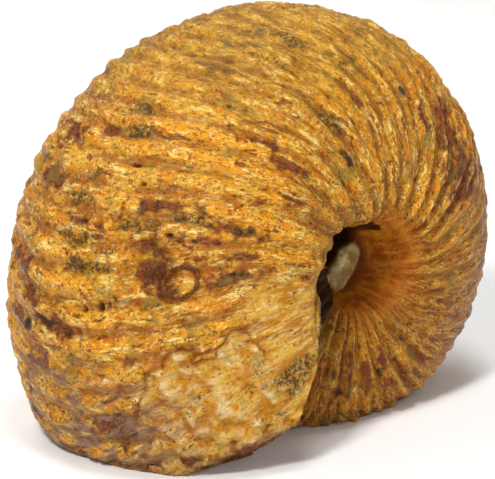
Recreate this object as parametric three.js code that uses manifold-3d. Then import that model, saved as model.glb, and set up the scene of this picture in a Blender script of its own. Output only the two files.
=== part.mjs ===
// Ammonite fossil: an inflated, tightly coiled shell turned to stone, one solid piece.
// Millimetres, +Z up. The coil axis is parallel to Y and the shell rests on the flat break across its
// last whorl. The origin is on that break, at the middle of the shell's length and width.
import * as THREE from "three";
import { ParametricGeometry } from "three/addons/geometries/ParametricGeometry.js";
import { mergeVertices } from "three/addons/utils/BufferGeometryUtils.js";
import Module from "manifold-3d";

const TURN = 2 * Math.PI;
const { abs, min, sin, cos, exp } = Math;
const { degToRad, lerp, smoothstep, clamp } = THREE.MathUtils;

// The coil. Angles run the way the shell grew: from +X over the top (+Z) and down the -X side.
const SIZE_ANGLE = degToRad(250); // where the whorl has the three sizes below
const VENTER_RADIUS = 54.6; // coil axis to the outer edge of the whorl
const HALF_WIDTH = 34; // mid-plane to the widest point of the flank
const WIDEST_RADIUS = 23; // coil axis to that widest point
const LAST_UMBILICUS_RADIUS = 12.5; // coil axis to the innermost wall, at the broken end
const EARLY_UMBILICUS_RADIUS = 3.6; // and one turn earlier, before the umbilicus widens
const RADIUS_GROWTH = 0.085; // natural log of the growth in radius, per radian
const WIDTH_GROWTH = 0.07; // the same for the width
const OUTER_ROUNDNESS = 2.16; // superellipse exponent of the outer half of the section
const INNER_ROUNDNESS = 3.1; // and of the half that wraps over the older whorl
const LAST_ANGLE = degToRad(262); // where the last whorl is broken off, at the venter
const COVERED_TURN = 0.2; // extra length of older whorl kept under the broken end, in turns

// The break runs obliquely, from the venter back to the umbilicus.
const BREAK_SWEEP = degToRad(84); // how far back it reaches
const BREAK_START = 0.03; // share of the way from venter to umbilicus where it starts to run back
const BREAK_END = 0.79; // and where it has reached its full sweep

// The ribs lean back a little towards the umbilicus, two outer ribs joining into one on the flank.
const OUTER_RIBS = 60; // around the venter, per turn
const FIRST_CREST = LAST_ANGLE - degToRad(3.9); // the last crest before the break
const RIB_RELIEF = 0.009; // half the height from groove to crest, as a share of the section's size
const FORK_START = 0.35; // share of the way from venter to umbilicus where outer ribs start to join
const FORK_END = 0.6; // where they have joined
const FADE_START = 0.75; // where the ribs start to die out on the umbilical wall
const LAST_SWEEP = degToRad(9); // how far back they lean at the broken end
const EARLY_SWEEP = degToRad(30); // and one turn earlier
const SWEEP_END = 0.65; // share of the way to the umbilicus where they have reached it

// Breaks and filling.
const BASE_DROP = 27; // coil axis down to the flat break
const CHIP_START = 18.5; // mid-plane to where the chipped flank leaves the base
const CHIP_SLOPE = degToRad(32);
const PLUG_RADIUS = 9.5; // sediment that fills the bottom of both umbilici
const PLUG_HALF_HEIGHT = 16;
const PLUG_BULGE = 1.5;

const STEPS_PER_TURN = 2 * OUTER_RIBS; // one step to each crest and one to each groove
const STEP = TURN / STEPS_PER_TURN;
const STEPS_AROUND = 22;
const PLUG_SIDES = 28;
const CUTTER = 400;

const wasm = await Module();
wasm.setup();

function superellipse(angle, exponent) {
  const size = (abs(cos(angle)) ** exponent + abs(sin(angle)) ** exponent) ** (-1 / exponent);
  return [size * cos(angle), size * sin(angle)];
}

function turnsBack(growth) {
  return (LAST_ANGLE - growth) / TURN;
}

// The smooth section at one angle: distance from the coil axis and distance from the mid-plane.
function section(angle, around) {
  const outer = cos(around) >= 0;
  const [along, across] = superellipse(around, outer ? OUTER_ROUNDNESS : INNER_ROUNDNESS);
  const wallAge = turnsBack(angle + BREAK_SWEEP);
  const umbilicus = LAST_UMBILICUS_RADIUS * (EARLY_UMBILICUS_RADIUS / LAST_UMBILICUS_RADIUS) ** wallAge;
  const reach = outer ? VENTER_RADIUS - WIDEST_RADIUS : WIDEST_RADIUS - umbilicus;
  return [WIDEST_RADIUS + reach * along, HALF_WIDTH * across];
}

// Height of the ribs, from -1 in a groove to 1 on a crest; inward is 0 at the venter and 1 at the axis.
function ribHeight(growth, inward) {
  const back = FIRST_CREST - growth;
  const outerRibs = cos(OUTER_RIBS * back);
  const innerRibs = sin((OUTER_RIBS / 2) * back);
  const joined = smoothstep(inward, FORK_START, FORK_END);
  const fade = 1 - smoothstep(inward, FADE_START, 1);
  return fade * (outerRibs * (1 - joined) + innerRibs * joined);
}

// Angle around the coil of a growth line, which leans further back on the older shell.
function ribAngle(growth, inward) {
  return growth - lerp(LAST_SWEEP, EARLY_SWEEP, turnsBack(growth)) * smoothstep(inward, 0, SWEEP_END);
}

// The growth line that meets the break at one share of the way in from the venter.
function lastGrowth(inward) {
  const lean = smoothstep(inward, 0, SWEEP_END);
  const change = ((EARLY_SWEEP - LAST_SWEEP) / TURN) * lean;
  const edge = LAST_ANGLE - BREAK_SWEEP * smoothstep(inward, BREAK_START, BREAK_END);
  return (edge + LAST_SWEEP * lean + LAST_ANGLE * change) / (1 + change);
}

// A point of the shell on one growth line, or on the break if the line runs past it, around the
// section from the venter (0).
function shellPoint(line, around, target) {
  const inward = 1 - abs(1 - around / Math.PI);
  const growth = min(line, lastGrowth(inward));
  const angle = ribAngle(growth, inward);
  const [radius, side] = section(angle, around);
  const relief = 1 + RIB_RELIEF * ribHeight(growth, inward);
  const ribbed = WIDEST_RADIUS + (radius - WIDEST_RADIUS) * relief;
  const distance = ribbed * exp(RADIUS_GROWTH * (angle - SIZE_ANGLE));
  const offset = side * relief * exp(WIDTH_GROWTH * (angle - SIZE_ANGLE));
  return target.set(distance * cos(angle), -offset, distance * sin(angle));
}

// One closed length of whorl. Its first and last rings are drawn together on the mid-plane, which
// closes the tube with a face along the growth line or the break.
function whorl(first, last) {
  const steps = Math.round((last - first) / STEP);
  const point = (u, v, target) => {
    const ring = Math.round(v * (steps + 2));
    const step = clamp(ring - 1, 0, steps);
    const around = (Math.round((1 - u) * STEPS_AROUND) % STEPS_AROUND) * (TURN / STEPS_AROUND);
    shellPoint(last - (steps - step) * STEP, around, target);
    if (ring === 0 || ring === steps + 2) target.y = 0;
  };
  return solid(new ParametricGeometry(point, STEPS_AROUND, steps + 2));
}

function solid(geometry) {
  geometry.deleteAttribute("normal");
  geometry.deleteAttribute("uv");
  const merged = mergeVertices(geometry, 1e-4);
  const corners = [];
  const index = merged.index.array;
  for (let i = 0; i < index.length; i += 3) {
    const [a, b, c] = index.subarray(i, i + 3);
    if (a !== b && b !== c && c !== a) corners.push(a, b, c);
  }
  const vertProperties = merged.attributes.position.array;
  const mesh = new wasm.Mesh({ numProp: 3, vertProperties, triVerts: Uint32Array.from(corners) });
  return new wasm.Manifold(mesh);
}

function geometryOf(made) {
  const { numProp, vertProperties, triVerts } = made.getMesh();
  const geometry = new THREE.BufferGeometry();
  geometry.setAttribute("position", new THREE.BufferAttribute(vertProperties, numProp));
  geometry.setIndex(new THREE.BufferAttribute(triVerts, 1));
  return geometry;
}

// Sediment on the coil axis: a short cylinder with a domed face in each umbilicus.
function plug() {
  const profile = [
    new THREE.Vector2(0, -PLUG_HALF_HEIGHT - PLUG_BULGE),
    new THREE.Vector2(PLUG_RADIUS * 0.6, -PLUG_HALF_HEIGHT - PLUG_BULGE * 0.6),
    new THREE.Vector2(PLUG_RADIUS, -PLUG_HALF_HEIGHT),
    new THREE.Vector2(PLUG_RADIUS, PLUG_HALF_HEIGHT),
    new THREE.Vector2(PLUG_RADIUS * 0.6, PLUG_HALF_HEIGHT + PLUG_BULGE * 0.6),
    new THREE.Vector2(0, PLUG_HALF_HEIGHT + PLUG_BULGE),
  ];
  return solid(new THREE.LatheGeometry(profile, PLUG_SIDES));
}

// Everything under the flat break.
function belowBase() {
  return solid(new THREE.BoxGeometry(CUTTER, CUTTER, CUTTER).translate(0, 0, -BASE_DROP - CUTTER / 2));
}

// The chip that lifts the edge of the break on the -Y flank.
function chippedFlank() {
  const box = new THREE.BoxGeometry(CUTTER, CUTTER, CUTTER).translate(0, 0, -CUTTER / 2);
  return solid(box.rotateX(-CHIP_SLOPE).translate(0, -CHIP_START, -BASE_DROP));
}

function ammonite() {
  const middle = FIRST_CREST - TURN / 2;
  const youngest = whorl(middle, FIRST_CREST + 2 * STEP);
  const older = whorl(FIRST_CREST - (1 + COVERED_TURN) * TURN, middle);
  const whole = youngest.add(older).add(plug()).subtract(belowBase()).subtract(chippedFlank());
  const geometry = geometryOf(whole);
  geometry.computeBoundingBox();
  const centre = geometry.boundingBox.getCenter(new THREE.Vector3());
  geometry.translate(-centre.x, -centre.y, BASE_DROP);
  geometry.computeVertexNormals();
  const stone = new THREE.MeshStandardMaterial({ color: 0xb98a45, roughness: 0.35, metalness: 0 });
  const mesh = new THREE.Mesh(geometry, stone);
  mesh.name = "ammonite";
  return mesh;
}

const fossil = new THREE.Group();
fossil.add(ammonite());

export default fossil;
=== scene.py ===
"""Ammonite fossil: the fine surface, the stone, the light and the view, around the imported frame."""

import math
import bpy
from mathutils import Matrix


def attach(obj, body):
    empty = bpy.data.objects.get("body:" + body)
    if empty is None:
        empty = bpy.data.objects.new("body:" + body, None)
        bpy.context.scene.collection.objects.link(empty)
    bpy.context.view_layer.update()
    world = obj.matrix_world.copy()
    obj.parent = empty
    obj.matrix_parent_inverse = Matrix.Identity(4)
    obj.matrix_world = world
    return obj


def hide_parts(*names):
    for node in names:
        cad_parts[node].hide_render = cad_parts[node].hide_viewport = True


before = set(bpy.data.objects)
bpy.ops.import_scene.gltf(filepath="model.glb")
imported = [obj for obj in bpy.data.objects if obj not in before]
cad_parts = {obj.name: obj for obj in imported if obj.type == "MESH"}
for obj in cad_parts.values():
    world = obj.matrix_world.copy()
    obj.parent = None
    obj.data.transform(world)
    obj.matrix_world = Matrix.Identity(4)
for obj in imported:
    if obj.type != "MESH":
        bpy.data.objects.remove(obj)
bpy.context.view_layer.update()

from types import SimpleNamespace

import bmesh
import bpy
import numpy as np
from mathutils import Matrix, Vector
from mathutils.kdtree import KDTree

MM = 0.001
TURN = 2 * math.pi

# The coil, as in the CAD part: the same sizes, in metres and radians. Angles run the way the shell grew,
# from +X over the top and down the -X side.
AXIS = Vector((5.8 * MM, 0, 27 * MM))
SIZE_ANGLE = math.radians(250)          # where the whorl has the sizes below
VENTER_RADIUS = 54.6 * MM               # coil axis to the outer edge
HALF_WIDTH = 34 * MM
WIDEST_RADIUS = 23 * MM                 # coil axis to the widest point of the flank
LAST_UMBILICUS_RADIUS = 12.5 * MM       # coil axis to the innermost wall, at the broken end
EARLY_UMBILICUS_RADIUS = 3.6 * MM       # and one turn earlier
RADIUS_GROWTH = 0.085                   # natural log of the growth per radian
WIDTH_GROWTH = 0.07
OUTER_ROUNDNESS = 2.16                  # superellipse exponents of the section's outer and inner halves
INNER_ROUNDNESS = 3.1
LAST_ANGLE = math.radians(262)          # where the last whorl is broken off, at the venter
COVERED_TURN = 0.2                      # older whorl kept under the broken end, in turns
FIRST_ANGLE = LAST_ANGLE - (1 + COVERED_TURN) * TURN

# The ribs. Shares of the way from the venter (0) to the axis (1) say where two outer ribs join, where
# they fade, and where they and the growth lines have reached their full lean back.
OUTER_RIBS = 60
RIB_OFFSET = math.radians(3.9)
FORK_START, FORK_END = 0.3, 0.62
FADE_START = 0.72
LAST_SWEEP = math.radians(9)
EARLY_SWEEP = math.radians(30)
SWEEP_END = 0.65

# The break runs from the venter back to the umbilicus.
BREAK_SWEEP = math.radians(84)
BREAK_START, BREAK_END = 0.03, 0.79
CHIP_START = 18.5 * MM
CHIP_SLOPE = math.radians(32)

PLUG_RADIUS = 9.5 * MM
PLUG_HALF_HEIGHT = 16 * MM
# The pale oval of sediment on the plug's face, in millimetres from the coil axis; it leans to +X, +Z.
FILL_CENTRE = (0.2, -0.1)
FILL_LEAN = math.radians(46)
FILL_HALF_LENGTH, FILL_HALF_WIDTH = 4.7, 2.4

SHELL_ALONG = 46    # millimetres of flank per radian of growth
SHELL_ACROSS = 72   # millimetres of section from the venter to the axis

VOXEL = 0.3 * MM
GRID_STEPS = 360    # analytic rings per turn
GRID_AROUND = 160   # points around each ring
EDGE_POINTS = 2000  # points along the broken edge
BIG_FACE = 4        # corners of the largest face that isn't cut into triangles
NO_AREA = 1e-16
SAME_PLACE = 1e-7


# ---------------------------------------------------------------- shell form

def smoothstep(x, low, high):
    t = np.clip((x - low) / (high - low), 0, 1)
    return t * t * (3 - 2 * t)


def turns_back(growth):
    """Turns back from the broken end."""
    return (LAST_ANGLE - growth) / TURN


def rib_angle(growth, inward):
    """Angle around the coil of a point on the growth line of one angle."""
    sweep = LAST_SWEEP + (EARLY_SWEEP - LAST_SWEEP) * turns_back(growth)
    return growth - sweep * smoothstep(inward, 0, SWEEP_END)


def break_angle(inward):
    """Angle around the coil of the broken edge."""
    return LAST_ANGLE - BREAK_SWEEP * smoothstep(inward, BREAK_START, BREAK_END)


def superellipse(angle, exponent):
    """Point of a superellipse of radius 1 in one direction."""
    size = (abs(np.cos(angle)) ** exponent + abs(np.sin(angle)) ** exponent) ** (-1 / exponent)
    return size * np.cos(angle), size * np.sin(angle)


def shell_points(growth, around, broken=True):
    """Points of the smooth shell on growth lines, around the section from the venter (0). The shell ends
    at its break, or carries on past it when broken is false."""
    inward = 1 - abs(1 - around / math.pi)
    angle = rib_angle(growth, inward)
    if broken:
        angle = np.minimum(angle, break_angle(inward))
    outer = np.cos(around) >= 0
    along_out, across_out = superellipse(around, OUTER_ROUNDNESS)
    along_in, across_in = superellipse(around, INNER_ROUNDNESS)
    wall_age = turns_back(angle + BREAK_SWEEP)
    umbilicus = LAST_UMBILICUS_RADIUS * (EARLY_UMBILICUS_RADIUS / LAST_UMBILICUS_RADIUS) ** wall_age
    radius = WIDEST_RADIUS + np.where(outer, (VENTER_RADIUS - WIDEST_RADIUS) * along_out,
                                      (WIDEST_RADIUS - umbilicus) * along_in)
    side = HALF_WIDTH * np.where(outer, across_out, across_in)
    distance = radius * np.exp(RADIUS_GROWTH * (angle - SIZE_ANGLE))
    offset = side * np.exp(WIDTH_GROWTH * (angle - SIZE_ANGLE))
    points = np.stack([distance * np.cos(angle), -offset, distance * np.sin(angle)], -1)
    return points + np.array(AXIS)


def shell_grid(first, last, broken=True):
    """Growth angles, section angles and points of a length of whorl, as a grid."""
    rings = round((last - first) / TURN * GRID_STEPS) + 1
    growth = np.linspace(first, last, rings)
    around = np.linspace(0, TURN, GRID_AROUND, endpoint=False)
    growth, around = np.meshgrid(growth, around, indexing="ij")
    return growth, around, shell_points(growth, around, broken)


def whorl(bm, first, last):
    """Adds one closed length of whorl; its end rings are drawn together on the mid-plane."""
    _, _, points = shell_grid(first, last)
    closed = np.concatenate([points[:1], points, points[-1:]])
    closed[0, :, 1] = AXIS.y
    closed[-1, :, 1] = AXIS.y
    verts = [[bm.verts.new(p) for p in ring] for ring in closed]
    for ring, following in zip(verts, verts[1:]):
        for i in range(GRID_AROUND):
            j = (i + 1) % GRID_AROUND
            bm.faces.new((ring[i], following[i], following[j], ring[j]))


def plug(bm):
    """Adds the sediment that fills the bottom of both umbilici."""
    made = bmesh.ops.create_cone(bm, cap_ends=True, segments=48, radius1=PLUG_RADIUS,
                                 radius2=PLUG_RADIUS, depth=2 * PLUG_HALF_HEIGHT)
    place = Matrix.Translation(AXIS) @ Matrix.Rotation(math.pi / 2, 4, "X")
    bmesh.ops.transform(bm, matrix=place, verts=made["verts"])


def cut(bm, point, normal):
    """Cuts away what lies on the normal's side of a plane and closes the cut."""
    geometry = bm.verts[:] + bm.edges[:] + bm.faces[:]
    bmesh.ops.bisect_plane(bm, geom=geometry, dist=SAME_PLACE, plane_co=point, plane_no=normal,
                             clear_outer=True)
    rim = [e for e in bm.edges if e.is_boundary]
    bmesh.ops.holes_fill(bm, edges=rim, sides=0)
    bmesh.ops.triangulate(bm, faces=[f for f in bm.faces if len(f.verts) > BIG_FACE])


def remesh(mesh):
    """The mesh's outer surface as even quads."""
    piece = bpy.data.objects.new("remesh", mesh)
    bpy.context.scene.collection.objects.link(piece)
    modifier = piece.modifiers.new("voxels", "REMESH")
    modifier.mode = "VOXEL"
    modifier.voxel_size = VOXEL
    modifier.use_smooth_shade = True
    evaluated = piece.evaluated_get(bpy.context.evaluated_depsgraph_get())
    result = bpy.data.meshes.new_from_object(evaluated)
    bpy.data.objects.remove(piece)
    bpy.data.meshes.remove(mesh)
    return result


def smooth_form():
    """The whole fossil without its ribs and flaws, as one closed mesh of even quads."""
    bm = bmesh.new()
    middle = LAST_ANGLE - TURN / 2
    whorl(bm, middle, LAST_ANGLE)
    whorl(bm, FIRST_ANGLE, middle)
    plug(bm)
    bmesh.ops.remove_doubles(bm, verts=bm.verts[:], dist=SAME_PLACE)
    bmesh.ops.recalc_face_normals(bm, faces=bm.faces[:])
    mesh = bpy.data.meshes.new("form")
    bm.to_mesh(mesh)
    bm.free()
    mesh = remesh(mesh)
    bm = bmesh.new()
    bm.from_mesh(mesh)
    cut(bm, Vector((0, 0, 0)), Vector((0, 0, -1)))
    chip_normal = Matrix.Rotation(-CHIP_SLOPE, 3, "X") @ Vector((0, 0, -1))
    cut(bm, Vector((0, -CHIP_START, 0)), chip_normal)
    bm.to_mesh(mesh)
    bm.free()
    return remesh(mesh)


# ---------------------------------------------------------------- places on the shell

def nearest(samples, points):
    """Index of the sample nearest to each point, and how far off it is."""
    tree = KDTree(len(samples))
    for i, sample in enumerate(samples):
        tree.insert(sample, i)
    tree.balance()
    found = [tree.find(point)[1:] for point in points]
    index, distance = zip(*found)
    return np.array(index), np.array(distance)


def shell_places(points):
    """For each point the growth angle and section angle (-pi to pi, positive towards -Y) of the place on the
    smooth shell next to it, and its distance from the shell."""
    growth, around, grid = shell_grid(FIRST_ANGLE, LAST_ANGLE, broken=False)
    along = np.gradient(grid, axis=0).reshape(-1, 3)
    across = ((np.roll(grid, -1, 1) - np.roll(grid, 1, 1)) / 2).reshape(-1, 3)
    samples = grid.reshape(-1, 3)
    near, _ = nearest(samples, points)
    offset = points - samples[near]
    # The part of the offset that lies in the surface, as shares of a step along and across the grid.
    a, b = along[near], across[near]
    aa, bb, ab = (a * a).sum(1), (b * b).sum(1), (a * b).sum(1)
    oa, ob = (offset * a).sum(1), (offset * b).sum(1)
    det = np.maximum(aa * bb - ab * ab, NO_AREA)
    step_a = np.clip((oa * bb - ob * ab) / det, -1, 1)
    step_b = np.clip((ob * aa - oa * ab) / det, -1, 1)
    rest = offset - step_a[:, None] * a - step_b[:, None] * b
    place_growth = growth.ravel()[near] + step_a * TURN / GRID_STEPS
    place_around = around.ravel()[near] + step_b * TURN / GRID_AROUND
    place_around = (place_around + math.pi) % TURN - math.pi
    return place_growth, place_around, np.linalg.norm(rest, axis=1)


def break_distance(points):
    """Distance from the edge where the last whorl is broken off."""
    around = np.linspace(0, TURN, EDGE_POINTS, endpoint=False)
    _, distance = nearest(shell_points(np.full(len(around), LAST_ANGLE), around), points)
    return distance


# ---------------------------------------------------------------- noise

def cell_numbers(cells, seed):
    """A fixed random number from -1 to 1 for each whole-number cell."""
    x, y, z = (cells[:, i].astype(np.int64).astype(np.uint32) for i in range(3))
    mixed = x * np.uint32(374761393) + y * np.uint32(668265263) + z * np.uint32(2246822519)
    mixed = mixed + np.uint32(seed * 3266489917 % 2 ** 32)
    mixed = (mixed ^ (mixed >> np.uint32(13))) * np.uint32(1274126177)
    mixed = (mixed ^ (mixed >> np.uint32(15))) * np.uint32(2654435761)
    return (mixed ^ (mixed >> np.uint32(16))) / 2.0 ** 31 - 1


def noise(points, seed):
    """Smooth noise from -1 to 1 with features one unit across."""
    cell = np.floor(points)
    part = points - cell
    part = part ** 3 * (part * (part * 6 - 15) + 10)
    total = np.zeros(len(points))
    for corner in np.ndindex(2, 2, 2):
        corner = np.array(corner)
        weight = np.prod(np.where(corner, part, 1 - part), axis=1)
        total += weight * cell_numbers(cell + corner, seed)
    return total


def fractal(points, seed, octaves=3):
    """Noise with finer and weaker layers added to it."""
    total, size = 0, 1.0
    for octave in range(octaves):
        total = total + size * noise(points * 2 ** octave, seed + 17 * octave)
        size *= 0.5
    return total / (2 - 2 * size)


# ---------------------------------------------------------------- relief

class Places:
    """Where each point lies on the shell, with the masks that the relief and the colours share."""

    def __init__(self, points):
        self.points = points
        growth, around, off = shell_places(points)
        self.back = LAST_ANGLE - growth
        self.degrees = np.degrees(self.back)
        self.side = around / math.pi
        self.inward = abs(self.side)
        # Millimetres along the growth and across the whorl, for textures that follow the ribs.
        along, across = self.back * SHELL_ALONG, self.side * SHELL_ACROSS
        self.shell = np.stack([along, across, np.zeros(len(points))], -1)
        self.space = (points - np.array(AXIS)) / MM
        self.from_axis = np.hypot(self.space[:, 0], self.space[:, 2])
        self.on_shell = 1 - smoothstep(off, 0.15 * MM, 0.5 * MM)
        self.find_plug()
        self.find_breaks(off)

    def find_plug(self):
        on_axis = self.from_axis < PLUG_RADIUS / MM + 0.3
        at_face = abs(abs(self.space[:, 1]) - PLUG_HALF_HEIGHT / MM) < 0.8
        self.plug = np.where(on_axis & at_face, 1 - self.on_shell, 0)
        x, z = (self.space[:, [0, 2]] - np.array(FILL_CENTRE)).T
        long_way = x * math.cos(FILL_LEAN) + z * math.sin(FILL_LEAN)
        upper_left = z * math.cos(FILL_LEAN) - x * math.sin(FILL_LEAN)
        # 1 on the edge of the pale oval, and the side of it that lies under the last whorl's overhang:
        # deepened in the relief and darkened there with painted shadow.
        self.from_fill = np.hypot(long_way / FILL_HALF_LENGTH, upper_left / FILL_HALF_WIDTH)
        self.overhung = smoothstep(upper_left, 0.5, 2.0)

    def find_breaks(self, off):
        chip_top = self.points[:, 2] + math.tan(CHIP_SLOPE) * (CHIP_START + self.points[:, 1])
        chip_height = chip_top * math.cos(CHIP_SLOPE)
        self.over_break = np.minimum(self.points[:, 2], chip_height)
        self.broken = (1 - self.on_shell) * (1 - self.plug)
        self.base = self.broken * (self.points[:, 2] < 0.6 * MM)
        # The crevice between the broken edge and the older whorl under it, cut into the relief and darkened
        # with painted shadow.
        past_break = np.where(off > 0.5 * MM, 0.3, self.degrees > 240)
        near_edge = 1 - smoothstep(break_distance(self.points), 1.5 * MM, 4.5 * MM)
        self.seam = near_edge * past_break

    def shell_noise(self, along, across, seed, octaves=3):
        """Noise that follows the ribs, with features of two sizes in millimetres."""
        return fractal(self.shell / (along, across, 1) + seed * 5.3, seed, octaves)

    def space_noise(self, size, seed, octaves=3):
        """Noise that is the same in every direction, with features of one size in millimetres."""
        return fractal(self.space / size + seed * 3.7, seed, octaves)


def rib_crests(at):
    """1 on the crest of a rib, 0 in a groove. Two outer ribs join into one on the way to the umbilicus."""
    wobble = 0.07 * at.shell_noise(16, 22, 1, 2) + 0.03 * at.shell_noise(4, 6, 2, 2)
    count = (at.back - RIB_OFFSET) / TURN * OUTER_RIBS / 2 + wobble
    joined = smoothstep(at.inward + 0.07 * at.shell_noise(6, 30, 3, 1), FORK_START, FORK_END)
    split = 0.25 * (1 - joined)
    across_rib = (count + 0.25) % 1 - 0.5
    width = 0.15 + 0.09 * joined
    one = np.exp(-((across_rib - split) / width) ** 2)
    other = np.exp(-((across_rib + split) / width) ** 2)
    return (one ** 3 + other ** 3) ** (1 / 3), joined


def smooth_zone(at):
    """The worn flank beside the broken end, where the ribs have gone."""
    edge = 0.03 * at.shell_noise(9, 9, 5, 2)
    inner = smoothstep(at.side + edge, 0.33, 0.42) * (1 - smoothstep(at.side + edge, 0.70, 0.80))
    return inner * (1 - smoothstep(at.degrees + 200 * edge, 78, 92))


# The upper edge of the peeled patch: shares of the way from the venter to the axis, and degrees back from
# the broken end.
PEEL_EDGE_SIDE = (0.12, 0.17, 0.20, 0.24, 0.28, 0.31, 0.34, 0.37, 0.42)
PEEL_EDGE_DEGREES = (52, 66, 71, 73, 69.5, 68, 73, 72.5, 60)
NO_PEEL = -40


def peeled_patch(at):
    """The patch near the broken end where the outer layer has flaked away, and its upper edge."""
    edge = np.interp(at.side, PEEL_EDGE_SIDE, PEEL_EDGE_DEGREES, left=NO_PEEL, right=NO_PEEL)
    edge = edge + 3.0 * at.shell_noise(2.4, 2.4, 7, 2)
    inside = edge - at.degrees
    low_side = smoothstep(at.side + 0.03 * at.shell_noise(5, 5, 8, 3), 0.13, 0.20)
    patch = smoothstep(inside, 0, 1.0) * low_side * (1 - smoothstep(at.side, 0.38, 0.42))
    line = np.exp(-((inside - 0.4) / 0.7) ** 2) * (at.side > 0.14) * (at.side < 0.40)
    return patch, line


# Flaws at listed places: degrees back from the broken end, share of the way from the venter to the
# axis (negative on the +Y side), then half the length along the rib and half the width, in millimetres.
PORES = (
    (113.9, 0.099, 0.6, 0.4), (84.1, 0.103, 0.5, 0.7), (83.5, 0.069, 0.4, 0.4), (84.6, 0.121, 0.3, 0.4),
    (85.8, 0.130, 0.3, 0.3), (99.0, 0.210, 0.4, 0.3), (80.0, 0.470, 0.4, 0.3), (62.0, 0.520, 0.4, 0.3),
    (133.0, 0.190, 0.4, 0.3), (150.0, 0.300, 0.4, 0.3), (110.0, 0.130, 0.3, 0.3),
    (200.0, -0.300, 0.5, 0.4), (90.0, -0.400, 0.5, 0.4),
)
DARK_SPOTS = (
    (76.5, -0.090, 0.9, 0.9), (79.4, -0.030, 1.4, 1.0), (356.5, 0.428, 1.3, 1.1),
    (323.3, 0.426, 1.3, 1.1), (131.1, 0.463, 0.8, 0.7), (139.5, 0.429, 1.8, 1.3),
    (178.0, 0.310, 0.8, 0.8), (349.7, 0.376, 0.8, 1.2), (230.0, -0.300, 1.6, 1.2),
)
RUST_STAINS = (
    (106.6, -0.078, 2.6, 1.7), (117.9, -0.088, 2.8, 1.9), (79.4, 0.000, 3.6, 1.6),
    (88.0, -0.103, 1.8, 1.8), (82.9, -0.057, 3.0, 1.3), (100.8, 0.036, 2.4, 0.8),
    (98.0, 0.064, 2.0, 0.8), (105.5, 0.188, 3.2, 1.4), (96.5, 0.179, 1.2, 1.3), (88.5, 0.350, 3.6, 1.2),
    (86.7, 0.320, 2.0, 0.7), (100.5, 0.320, 4.2, 1.3), (93.5, 0.330, 4.0, 0.7), (97.9, 0.266, 3.5, 0.7),
    (55.9, 0.169, 4.0, 1.7), (60.0, 0.119, 4.0, 1.4), (142.4, 0.122, 3.4, 1.0),
    (166.4, 0.262, 2.5, 1.8), (168.0, 0.225, 1.5, 1.5), (157.1, 0.305, 4.0, 0.9),
    (209.0, 0.384, 6.0, 3.0), (201.0, 0.370, 5.0, 2.0), (195.8, 0.358, 4.5, 0.9),
    (216.0, 0.400, 5.5, 2.8), (204.5, 0.425, 5.0, 2.2), (223.0, 0.360, 4.5, 1.8),
    (184.0, 0.360, 4.0, 0.7), (123.0, 0.362, 2.6, 1.2), (113.5, 0.400, 3.0, 0.9),
    (120.1, 0.011, 2.6, 0.9), (153.7, 0.205, 2.5, 1.0), (126.1, 0.279, 3.0, 0.8),
    (146.0, 0.081, 2.0, 1.2), (150.0, -0.400, 3.0, 1.6), (60.0, -0.450, 4.0, 1.6),
    (110.0, -0.330, 3.5, 1.4), (320.0, 0.480, 5.0, 1.4), (333.0, 0.430, 5.0, 1.6),
    (345.0, 0.470, 5.0, 1.3), (300.0, 0.450, 5.0, 1.2), (312.0, 0.400, 4.0, 1.4),
    (352.0, 0.410, 3.0, 1.6), (88.0, -0.150, 3.0, 1.2), (76.0, -0.130, 3.0, 1.2),
    (70.0, -0.060, 3.5, 1.1), (185.0, -0.250, 4.0, 1.2), (250.0, -0.400, 3.0, 1.6),
    (300.0, -0.350, 3.0, 1.4),
)
SOOT = (
    (100.9, 0.160, 3.0, 1.2), (96.9, 0.030, 2.6, 1.3), (92.0, 0.060, 3.4, 1.0),
    (103.0, 0.230, 3.0, 1.1), (105.0, 0.010, 2.4, 1.1), (127.2, 0.050, 2.0, 1.5),
    (121.0, 0.070, 2.6, 1.2), (160.3, 0.129, 3.4, 1.6), (88.5, 0.345, 2.0, 0.8),
    (100.5, 0.335, 1.8, 0.7), (143.8, 0.338, 2.6, 1.8), (50.9, 0.449, 3.4, 4.0),
    (130.0, -0.350, 3.0, 1.6), (210.0, -0.300, 4.0, 1.4),
)
NODULES = (
    (90.8, 0.203, 2.3, 2.9), (86.4, 0.224, 1.3, 1.4), (95.0, 0.203, 0.9, 1.0), (47.5, 0.215, 1.6, 1.3),
)
WORM_RING = (88.1, 0.249, 1.95, 2.9)


def place_distance(at, degrees_back, side, length, width):
    """Distance from a place on the shell, as a share of an ellipse laid along the rib."""
    across = (at.back - math.radians(degrees_back)) * SHELL_ALONG / width
    along = (at.side - side) * SHELL_ACROSS / length
    return np.hypot(across, along)


def spots(at, places, ragged=0.7, softness=0.3):
    """1 inside any of the elliptical places, with ragged edges."""
    edge = ragged * at.space_noise(1.6, 11, 3)
    mask = np.zeros(len(at.points))
    for place in places:
        distance = place_distance(at, *place) + edge
        mask = np.maximum(mask, 1 - smoothstep(distance, 1 - softness, 1 + softness))
    return mask


def calm_zone(at):
    """The older flank and the funnel of the umbilicus, where the ribs are low and worn."""
    flank = smoothstep(at.degrees, 200, 230) * (1 - smoothstep(at.degrees, 285, 315))
    funnel = smoothstep(at.inward, 0.58, 0.72) * smoothstep(at.degrees, 120, 180)
    return np.maximum(flank, funnel) * smoothstep(at.side, 0.1, 0.3)


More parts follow.
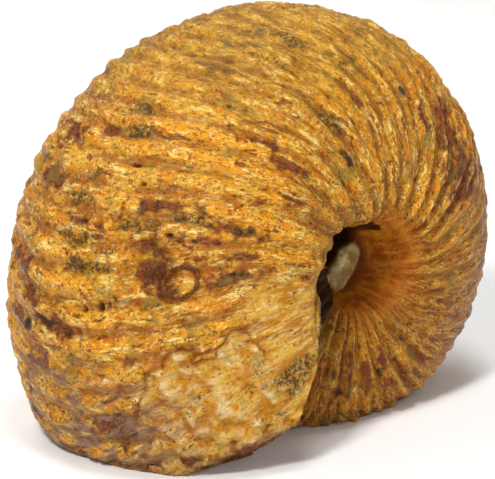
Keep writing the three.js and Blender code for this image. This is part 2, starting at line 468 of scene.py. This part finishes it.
class Flaws:
    """How strongly each flaw shows at each point, from 0 to 1."""

    def __init__(self, at):
        self.pores = spots(at, PORES, 0.2)
        self.dark = spots(at, DARK_SPOTS)
        self.rust = spots(at, RUST_STAINS, 1.3, 0.45)
        self.soot = spots(at, SOOT, 0.9, 0.6)
        self.nodules = spots(at, NODULES, 0.5)
        ring = place_distance(at, *WORM_RING) + 0.13 * at.space_noise(1.2, 12, 2)
        self.ring = np.exp(-((ring - 1) / 0.21) ** 2)
        self.ring_floor = 1 - smoothstep(ring, 0.75, 1)
        self.smooth = smooth_zone(at)
        self.calm = calm_zone(at)
        self.peel, self.peel_edge = peeled_patch(at)
        # Wavy ridges that run on with the growth, left where the outer layer has gone.
        across_ridges = at.shell @ np.array([0.55, 1.5, 0])
        self.ridges = np.sin(across_ridges + 4.0 * at.shell_noise(6, 6, 29, 3))


def rib_relief(at, crest, joined, flaws, rim):
    """Height of the ribs, from crests above the smooth form to grooves below it."""
    low_venter = (1 - smoothstep(at.degrees, 80, 110)) * (1 - smoothstep(at.side, 0.10, 0.25))
    height = 0.60 + 0.50 * joined + 0.25 * smoothstep(at.degrees, 130, 200) + 0.40 * low_venter
    fade = 1 - 0.75 * smoothstep(at.inward, FADE_START, 0.95)
    strength = 1 + 0.4 * at.shell_noise(8, 10, 21, 2)
    height = height * fade * strength
    worn = np.maximum(flaws.smooth * 0.92, flaws.peel * 0.8)
    return height * (1 - worn) * (1 - np.maximum(0.60 * flaws.calm, 0.75 * rim)) * (crest - 0.55)


def texture_relief(at, flaws):
    """Ledges where layers have flaked, pits and grain, with broad and small lumps."""
    steps = at.shell_noise(3.6, 6, 23, 4)
    ledges = 0.16 * smoothstep(steps, 0.02, 0.07) + 0.14 * smoothstep(steps, 0.24, 0.29)
    steps = at.space_noise(5, 24, 4)
    ledges += 0.15 * smoothstep(steps, -0.06, -0.01) + 0.12 * smoothstep(steps, 0.20, 0.25)
    lumps = 0.40 * at.space_noise(13, 25, 2) + 0.30 * at.space_noise(3.0, 26, 3)
    grain = 0.20 * at.space_noise(1.1, 27, 2)
    pits = -0.30 * smoothstep(at.space_noise(1.6, 39, 2), 0.34, 0.55)
    calm = 1 - 0.6 * np.maximum(flaws.smooth, flaws.calm)
    return (ledges + pits + grain) * calm + lumps


def flaw_relief(at, flaws):
    """Height of the peeled patch, the nodules and the ring, less the pores and stains."""
    peeled = -0.55 + 0.45 * flaws.ridges + 0.45 * at.space_noise(2.2, 30, 3)
    height = flaws.peel * peeled - 0.5 * flaws.peel_edge
    height += flaws.nodules * (1.0 + 0.8 * at.space_noise(1.0, 31, 2))
    height += 0.95 * flaws.ring - 0.15 * flaws.ring_floor
    height -= 0.9 * flaws.pores + 0.15 * flaws.dark + 0.12 * flaws.rust
    return height - 0.40 * flaws.soot * smoothstep(at.space_noise(1.1, 32, 2), 0.0, 0.3)


def break_relief(at):
    """Height of the rough broken faces, with a shallower texture on the base."""
    rubble = 0.7 * at.space_noise(2.6, 34, 3) + 0.25 * at.space_noise(0.9, 35, 2) - 0.3
    base = -0.30 * smoothstep(at.space_noise(4, 36, 3), -0.1, 0.4)
    return at.broken * np.where(at.base > 0, base, rubble)


def filling_relief(at):
    """Height of the plug's face: a low dome on the pale oval, in a pit that is deepest under the overhang."""
    filling = 0.6 * at.space_noise(4, 37, 3) + 0.15 * at.space_noise(1.0, 38, 2)
    filling += 0.8 * np.maximum(0, 1 - at.from_fill ** 2)
    return filling - (1.0 + 2.4 * at.overhung) * smoothstep(at.from_fill, 0.9, 1.5)


RIM_WEAR = 1.7      # how far the rim over the umbilicus is worn down, in millimetres
TOP_WEAR = 0.8      # and the back of the whorl where it is highest


def relief(at, crest, joined, flaws):
    """Height of the fine surface over the smooth form, in millimetres."""
    rim = smoothstep(at.inward, 0.50, 0.68) * (1 - smoothstep(at.degrees, 115, 145))
    top = np.exp(-((at.degrees - 150) / 25) ** 2) * (1 - smoothstep(at.inward, 0.1, 0.35))
    shell = rib_relief(at, crest, joined, flaws, rim) + texture_relief(at, flaws) - 0.3
    shell += flaw_relief(at, flaws) - RIM_WEAR * rim - TOP_WEAR * top
    near_break = 1 - smoothstep(at.over_break, 0, 4 * MM)
    shell -= 1.2 * near_break * smoothstep(at.space_noise(3.4, 33, 3), -0.05, 0.30)
    crevice = 0.8 * at.seam * (at.base == 0)
    return at.on_shell * shell + break_relief(at) + at.plug * filling_relief(at) - crevice


def read_points(mesh):
    points = np.empty(len(mesh.vertices) * 3)
    mesh.vertices.foreach_get("co", points)
    return points.reshape(-1, 3)


def read_normals(mesh):
    normals = np.empty(len(mesh.vertices) * 3, np.float32)
    mesh.vertex_normals.foreach_get("vector", normals)
    return normals.reshape(-1, 3).astype(float)


def store(mesh, name, values):
    """Keeps one number or one vector for each point under a name that the material reads."""
    kind, field = ("FLOAT_VECTOR", "vector") if values.ndim == 2 else ("FLOAT", "value")
    attribute = mesh.attributes.new(name, kind, "POINT")
    attribute.data.foreach_set(field, values.astype(np.float32).ravel())


def store_shell_masks(mesh, at, crest, flaws):
    """The masks of the ribs and the flaws, with the painted highlight on the peeled patch's ridge crests."""
    unworn = 1 - np.maximum.reduce([flaws.smooth, flaws.peel, 0.6 * flaws.calm])
    # The peeled patch's ridge crests: the inner layer's pale colour and a painted highlight.
    pale_and_lit_ridges = smoothstep(flaws.ridges + at.space_noise(2.2, 30, 3), 0.2, 1.3)
    store(mesh, "shell", at.shell)
    store(mesh, "crest", crest * at.on_shell * unworn)
    store(mesh, "worn", flaws.smooth)
    store(mesh, "peel", flaws.peel)
    store(mesh, "line", flaws.peel_edge)
    store(mesh, "pale_and_lit_ridge", flaws.peel * pale_and_lit_ridges)
    store(mesh, "dark", np.maximum(flaws.dark, flaws.pores))
    store(mesh, "rust", flaws.rust)
    store(mesh, "soot", flaws.soot)
    store(mesh, "nodule", np.maximum(flaws.nodules, smoothstep(flaws.ring, 0.25, 0.6)))


def store_zone_masks(mesh, at):
    """The masks of the breaks, the umbilicus and the zones where the colour drifts, with painted shade in the
    hollows and along the lower edge on the -X side.
    """
    fill_edge = at.from_fill + 0.15 * at.space_noise(1.5, 40, 2)
    fill = at.plug * (1 - smoothstep(fill_edge, 0.95, 1.15))
    pit = at.plug - fill
    old = smoothstep(at.degrees, 120, 200)
    shaded_wall_under_edge = at.on_shell * smoothstep(at.inward, 0.70, 0.80) * (1 - smoothstep(at.degrees, 110, 150))
    around_plug = (at.from_fill > 1.1) * (at.from_axis < 12) * (abs(at.space[:, 1]) < 21)
    # Painted shade: the wall under the last whorl's edge, the crevice at the break and the umbilicus under
    # the overhang.
    painted_hollow_shade = [shaded_wall_under_edge, at.seam, at.overhung * around_plug, pit * at.overhung]
    low = smoothstep(at.points[:, 2], 24 * MM, 8 * MM)
    store(mesh, "broken", at.broken)
    store(mesh, "plug", fill)
    store(mesh, "pit", pit)
    store(mesh, "older", smoothstep(at.degrees, 170, 300))
    store(mesh, "funnel", at.on_shell * smoothstep(at.inward, 0.58, 0.75) * old)
    store(mesh, "painted_hollow_shade", np.maximum.reduce(painted_hollow_shade))
    store(mesh, "faded", smoothstep(at.points[:, 2], 54 * MM, 68 * MM))
    # Painted shade: darker towards the lower edge on the -X side.
    store(mesh, "lower_left_shade", smoothstep(at.points[:, 0], -28 * MM, -40 * MM) * low)


def shell_mesh():
    """The finished surface, with the masks that its material reads."""
    mesh = smooth_form()
    mesh.name = "ammonite_shell"
    points = read_points(mesh)
    at = Places(points)
    crest, joined = rib_crests(at)
    flaws = Flaws(at)
    height = relief(at, crest, joined, flaws) * MM
    moved = points + read_normals(mesh) * height[:, None]
    moved[:, 2] = np.maximum(moved[:, 2], 0)
    mesh.vertices.foreach_set("co", moved.ravel())
    mesh.update()
    store_shell_masks(mesh, at, crest, flaws)
    store_zone_masks(mesh, at)
    return mesh


# ---------------------------------------------------------------- material

def rgb(red, green, blue):
    """A linear colour from 0-255 screen values."""
    def linear(value):
        value /= 255
        return value / 12.92 if value <= 0.04045 else ((value + 0.055) / 1.055) ** 2.4
    return (linear(red), linear(green), linear(blue), 1)


class Nodes:
    """Short calls for the nodes of one material."""

    def __init__(self, material):
        self.tree = material.node_tree
        self.tree.nodes.clear()

    def add(self, kind, inputs=(), **settings):
        node = self.tree.nodes.new(kind)
        for name, value in settings.items():
            setattr(node, name, value)
        for name, value in dict(inputs).items():
            if isinstance(value, bpy.types.NodeSocket):
                self.tree.links.new(value, node.inputs[name])
            else:
                node.inputs[name].default_value = value
        return node

    def mask(self, name):
        """One of the numbers stored on the mesh."""
        return self.add("ShaderNodeAttribute", attribute_name=name).outputs["Fac"]

    def scaled(self, vector, scale):
        node = self.add("ShaderNodeVectorMath", {0: vector, 1: scale}, operation="MULTIPLY")
        return node.outputs["Vector"]

    def noise(self, vector, scale, detail=4, roughness=0.6, distortion=0.0):
        """Noise with the same scale in every direction, or with a scale for each of three."""
        scale = scale if isinstance(scale, tuple) else (scale, scale, scale)
        inputs = {"Vector": self.scaled(vector, scale), "Scale": 1.0, "Detail": detail,
                  "Roughness": roughness, "Distortion": distortion}
        return self.add("ShaderNodeTexNoise", inputs).outputs["Fac"]

    def between(self, value, low, high):
        """0 below low and 1 above high; the other way round if low is above high."""
        inputs = {"Value": value, "From Min": low, "From Max": high}
        node = self.add("ShaderNodeMapRange", inputs, interpolation_type="SMOOTHSTEP")
        return node.outputs["Result"]

    def math(self, operation, *values):
        node = self.add("ShaderNodeMath", dict(enumerate(values)), operation=operation)
        return node.outputs["Value"]

    def part(self, value, share):
        """The value made weaker."""
        return self.math("MULTIPLY", value, share)

    def mix(self, share, first, second):
        """The first colour where share is 0, the second where it is 1."""
        node = self.add("ShaderNodeMix", data_type="RGBA")
        factor, first_colour, second_colour = node.inputs[0], node.inputs[6], node.inputs[7]
        for socket, value in ((factor, share), (first_colour, first), (second_colour, second)):
            if isinstance(value, bpy.types.NodeSocket):
                self.tree.links.new(value, socket)
            else:
                socket.default_value = value
        return node.outputs[2]


OCHRE = rgb(188, 122, 4)
GOLD = rgb(222, 150, 8)
TAN = rgb(206, 154, 42)
CREAM = rgb(244, 216, 126)
ORANGE = rgb(214, 108, 6)
BROWN = rgb(122, 58, 2)
RUST = rgb(122, 46, 0)
BRICK = rgb(186, 84, 14)
AMBER = rgb(226, 136, 28)
MAROON = rgb(56, 18, 2)
OLIVE = rgb(118, 100, 30)
UMBER = rgb(30, 15, 5)
LILAC = rgb(138, 106, 84)
PLUM = rgb(84, 50, 34)
BUFF = rgb(214, 168, 66)
PALE = rgb(226, 208, 156)
LIMESTONE = rgb(156, 122, 66)
SEDIMENT = rgb(198, 178, 124)


def stone_textures(n):
    """The noises that the colours share. The first four follow the ribs."""
    shell = n.add("ShaderNodeAttribute", attribute_name="shell").outputs["Vector"]
    place = n.add("ShaderNodeTexCoord").outputs["Object"]
    mm = n.scaled(place, (1 / MM, 1 / MM, 1 / MM))
    return SimpleNamespace(
        patches=n.noise(shell, (0.34, 0.20, 1), 5, 0.62, 0.6),
        streaks=n.noise(shell, (0.70, 0.30, 1), 5, 0.70, 0.4),
        fine=n.noise(shell, (1.7, 1.0, 1), 4, 0.75),
        stains=n.noise(shell, (0.36, 0.20, 1), 6, 0.72, 0.9),
        broad=n.noise(mm, 0.07, 3),
        moss=n.noise(mm, 0.20, 5, 0.65),
        mottle=n.noise(mm, 0.35, 5),
        clots=n.noise(mm, 0.45, 5),
        speck=n.noise(mm, 1.6, 3, 0.75),
    )


def ribbed_colour(n, t):
    """Ochre and gold with pale and orange streaks, brown grooves, rust and a little olive."""
    colour = n.mix(n.between(t.broad, 0.42, 0.58), OCHRE, GOLD)
    colour = n.mix(n.part(n.between(t.patches, 0.49, 0.58), 0.75), colour, TAN)
    colour = n.mix(n.part(n.between(t.streaks, 0.54, 0.62), 0.70), colour, CREAM)
    colour = n.mix(n.part(n.between(t.streaks, 0.46, 0.38), 0.65), colour, ORANGE)
    colour = n.mix(n.part(n.between(t.fine, 0.50, 0.40), 0.80), colour, BROWN)
    colour = n.mix(n.part(n.between(t.speck, 0.55, 0.62), 0.65), colour, CREAM)
    in_groove = n.between(n.mask("crest"), 0.60, 0.15)
    groove = n.math("MULTIPLY", in_groove, n.between(t.patches, 0.62, 0.42))
    colour = n.mix(n.part(groove, 0.65), colour, BROWN)
    unworn = n.math("SUBTRACT", 1.0, n.part(n.mask("worn"), 0.75))
    stained = n.between(n.math("ADD", t.stains, n.part(n.mask("older"), 0.03)), 0.56, 0.60)
    mottled_rust = n.part(n.math("MULTIPLY", stained, unworn), 0.80)
    rust = n.math("MAXIMUM", mottled_rust, n.part(n.mask("rust"), 0.92))
    colour = n.mix(rust, colour, n.mix(n.between(t.fine, 0.42, 0.56), MAROON, RUST))
    return n.mix(n.part(n.between(t.moss, 0.56, 0.64), 0.55), colour, OLIVE)


def worn_colour(n, t):
    """The smooth flank beside the broken end."""
    buff = n.mix(n.between(t.patches, 0.44, 0.56), OCHRE, BUFF)
    buff = n.mix(n.part(n.between(t.streaks, 0.52, 0.62), 0.6), buff, PALE)
    return n.mix(n.part(n.between(t.fine, 0.46, 0.38), 0.5), buff, BROWN)


def peeled_colour(n, t):
    """The peeled patch, paler on its ridges: the pale inner layer, with a painted highlight on the crests."""
    peeled = n.mix(n.between(t.mottle, 0.42, 0.56), BUFF, OCHRE)
    peeled = n.mix(n.part(n.between(t.mottle, 0.46, 0.36), 0.55), peeled, OLIVE)
    peeled = n.mix(n.part(n.between(t.streaks, 0.50, 0.60), 0.35), peeled, PALE)
    # Pale on the ridge crests: the inner layer's own colour and a painted highlight.
    pale_and_lit_crest = n.math("MULTIPLY", n.mask("pale_and_lit_ridge"), n.between(t.patches, 0.44, 0.56))
    peeled = n.mix(n.part(pale_and_lit_crest, 0.75), peeled, PALE)
    return n.mix(n.part(n.between(t.fine, 0.46, 0.38), 0.6), peeled, BROWN)


def with_zones(n, t, colour):
    """The colour with its drifts: red funnel, brown older shell and faded top, with painted shade in plum and
    lilac along the lower edge.
    """
    funnel = n.mix(n.between(t.mottle, 0.40, 0.58), BRICK, AMBER)
    colour = n.mix(n.part(n.mask("funnel"), 0.80), colour, funnel)
    colour = n.mix(n.part(n.mask("older"), 0.26), colour, BROWN)
    # Painted shade for the lower edge on the -X side, in plum and lilac streaks.
    shade_tint = n.mix(n.between(t.streaks, 0.42, 0.56), PLUM, LILAC)
    lower_left_shade = n.math("MULTIPLY", n.mask("lower_left_shade"), n.between(t.stains, 0.44, 0.54))
    colour = n.mix(n.part(lower_left_shade, 0.85), colour, shade_tint)
    faded = n.mix(n.between(t.streaks, 0.42, 0.58), OLIVE, TAN)
    return n.mix(n.part(n.mask("faded"), 0.40), colour, faded)


def with_spots(n, t, colour):
    """The colour with clusters of dark specks, sooty patches, nodules and dark spots."""
    clusters = n.math("MULTIPLY", n.between(t.speck, 0.53, 0.57), n.between(t.stains, 0.47, 0.41))
    sooty = n.math("MULTIPLY", n.between(t.speck, 0.46, 0.52), n.mask("soot"))
    specks = n.math("MAXIMUM", clusters, sooty)
    colour = n.mix(n.part(n.mask("soot"), 0.35), colour, OLIVE)
    colour = n.mix(n.part(specks, 0.85), colour, UMBER)
    lump = n.mix(n.between(t.speck, 0.48, 0.60), MAROON, RUST)
    colour = n.mix(n.part(n.mask("nodule"), 0.88), colour, lump)
    spot = n.mix(n.between(t.speck, 0.45, 0.60), UMBER, MAROON)
    return n.mix(n.part(n.mask("dark"), 0.9), colour, spot)


def with_breaks(n, t, colour):
    """The colour with the broken stone, the sediment in the umbilicus, and painted shade in its hollows and
    in the crevice at the break.
    """
    stone = n.mix(n.between(t.mottle, 0.42, 0.58), LIMESTONE, BROWN)
    stone = n.mix(n.part(n.between(t.speck, 0.56, 0.62), 0.7), stone, UMBER)
    colour = n.mix(n.mask("broken"), colour, stone)
    colour = n.mix(n.mask("plug"), colour, n.mix(n.between(t.clots, 0.42, 0.58), SEDIMENT, LIMESTONE))
    colour = n.mix(n.mask("pit"), colour, n.mix(n.between(t.streaks, 0.42, 0.58), BROWN, RUST))
    # Painted shade in umber, over the hollows of the umbilicus and the crevice at the break.
    return n.mix(n.part(n.mask("painted_hollow_shade"), 0.9), colour, UMBER)


def fossil_stone():
    """Ochre and rust-stained stone under a glossy varnish."""
    material = bpy.data.materials.new("fossil_stone")
    material.use_nodes = True
    n = Nodes(material)
    t = stone_textures(n)
    colour = n.mix(n.part(n.mask("worn"), 0.75), ribbed_colour(n, t), worn_colour(n, t))
    colour = n.mix(n.part(n.mask("peel"), 0.85), colour, peeled_colour(n, t))
    colour = n.mix(n.part(n.mask("line"), 0.65), colour, BROWN)
    colour = with_breaks(n, t, with_spots(n, t, with_zones(n, t, colour)))

    matt = n.math("MAXIMUM", n.mask("broken"), n.mask("plug"))
    dull = n.math("ADD", n.between(t.patches, 0.35, 0.65), matt)
    roughness = n.add("ShaderNodeMapRange", {"Value": dull, "To Min": 0.30, "To Max": 0.60})
    height = n.math("ADD", n.part(t.fine, 0.5), n.part(t.speck, 0.5))
    bump = n.add("ShaderNodeBump", {"Strength": 1.0, "Distance": 0.6 * MM, "Height": height})
    shader = n.add("ShaderNodeBsdfPrincipled", {
        "Base Color": colour,
        "Roughness": roughness.outputs["Result"],
        "Specular IOR Level": 0.05,
        "Normal": bump.outputs["Normal"],
        "Coat Weight": 0.42,
        "Coat Roughness": 0.09,
        "Coat IOR": 1.5,
        "Coat Normal": bump.outputs["Normal"],
    })
    n.add("ShaderNodeOutputMaterial", {"Surface": shader.outputs["BSDF"]})
    return material


# ---------------------------------------------------------------- the fossil

ammonite = bpy.data.objects.new("ammonite_shell", shell_mesh())
ammonite.data.materials.append(fossil_stone())
bpy.context.scene.collection.objects.link(ammonite)
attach(ammonite, "root")
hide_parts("ammonite")


# ---------------------------------------------------------------- floor, light and camera

VIEW_AZIMUTH = math.radians(-40.2)
VIEW_ELEVATION = math.radians(16.3)
VIEW_ROLL = math.radians(-2.0)
VIEW_DISTANCE = 0.783
LENS = 332
SENSOR = 36
FARTHEST = 20
# The middle of the view lies a little left of and above the coil axis.
AIM_LEFT = 5.7 * MM
AIM_UP = 1.8 * MM

# The floor, in metres from the coil axis: how far it runs, and the curve up to its back wall.
FLOOR_HALF_WIDTH, FLOOR_FRONT, FLOOR_BACK, FLOOR_TOP = 3.0, -2.0, 1.6, 2.0
FLOOR_BEND, FLOOR_BEND_STEPS = 0.4, 12
FLOOR_COLOUR = (0.96, 0.96, 0.95, 1)


def plain_material(name, colour, roughness):
    material = bpy.data.materials.new(name)
    material.use_nodes = True
    shader = material.node_tree.nodes["Principled BSDF"]
    shader.inputs["Base Color"].default_value = colour
    shader.inputs["Roughness"].default_value = roughness
    return material


def floor():
    """A pale sheet that runs back and curves up, so the whole background is plain."""
    profile = [(FLOOR_FRONT, 0.0)]
    for i in range(FLOOR_BEND_STEPS + 1):
        angle = math.pi / 2 * i / FLOOR_BEND_STEPS
        profile.append((FLOOR_BACK + FLOOR_BEND * math.sin(angle), FLOOR_BEND - FLOOR_BEND * math.cos(angle)))
    profile.append((FLOOR_BACK + FLOOR_BEND, FLOOR_TOP))
    bm = bmesh.new()
    left = [bm.verts.new((-FLOOR_HALF_WIDTH, y, z)) for y, z in profile]
    right = [bm.verts.new((FLOOR_HALF_WIDTH, y, z)) for y, z in profile]
    for i in range(len(profile) - 1):
        bm.faces.new((left[i], right[i], right[i + 1], left[i + 1]))
    mesh = bpy.data.meshes.new("floor")
    bm.to_mesh(mesh)
    bm.free()
    mesh.shade_smooth()
    sheet = bpy.data.objects.new("floor", mesh)
    sheet.rotation_euler.z = VIEW_AZIMUTH
    sheet.data.materials.append(plain_material("pale_floor", FLOOR_COLOUR, 0.9))
    bpy.context.scene.collection.objects.link(sheet)


def view_axes():
    """The view's right, up and backward directions."""
    back = Vector((math.sin(VIEW_AZIMUTH) * math.cos(VIEW_ELEVATION),
                   -math.cos(VIEW_AZIMUTH) * math.cos(VIEW_ELEVATION), math.sin(VIEW_ELEVATION)))
    right = Vector((math.cos(VIEW_AZIMUTH), math.sin(VIEW_AZIMUTH), 0))
    up = back.cross(right)
    turn = Matrix.Rotation(VIEW_ROLL, 3, back)
    return turn @ right, turn @ up, back


def camera():
    right, up, back = view_axes()
    eye = AXIS + VIEW_DISTANCE * back
    target = AXIS - AIM_LEFT * right + AIM_UP * up
    away = (eye - target).normalized()
    across = up.cross(away).normalized()
    rotation = Matrix((across, away.cross(across), away)).transposed()
    made = bpy.data.objects.new("camera", bpy.data.cameras.new("camera"))
    made.matrix_world = Matrix.Translation(eye) @ rotation.to_4x4()
    made.data.lens = LENS
    made.data.sensor_width = SENSOR
    made.data.clip_end = FARTHEST
    bpy.context.scene.collection.objects.link(made)
    bpy.context.scene.camera = made


def soft_light(name, azimuth, elevation, distance, size, power):
    """A square light aimed at the fossil, placed by its direction in degrees from the camera's azimuth."""
    a = VIEW_AZIMUTH + math.radians(azimuth)
    e = math.radians(elevation)
    direction = Vector((math.sin(a) * math.cos(e), -math.cos(a) * math.cos(e), math.sin(e)))
    light = bpy.data.lights.new(name, "AREA")
    light.size = size
    light.energy = power
    made = bpy.data.objects.new(name, light)
    made.location = AXIS + distance * direction
    made.rotation_euler = direction.to_track_quat("Z", "Y").to_euler()
    bpy.context.scene.collection.objects.link(made)


def world_light(strength):
    world = bpy.data.worlds.new("studio")
    world.use_nodes = True
    background = world.node_tree.nodes["Background"]
    background.inputs["Color"].default_value = (1, 1, 1, 1)
    background.inputs["Strength"].default_value = strength
    bpy.context.scene.world = world


floor()
camera()
soft_light("key_light", azimuth=-20, elevation=45, distance=0.9, size=0.14, power=5.0)
soft_light("fill_light", azimuth=40, elevation=25, distance=1.1, size=0.3, power=1.6)
soft_light("low_light", azimuth=-15, elevation=8, distance=1.1, size=0.3, power=1.5)
soft_light("top_light", azimuth=20, elevation=75, distance=0.9, size=0.2, power=2.4)
soft_light("back_light", azimuth=-150, elevation=55, distance=0.9, size=0.4, power=2.5)
world_light(0.29)
bpy.context.scene.view_settings.view_transform = "Standard"
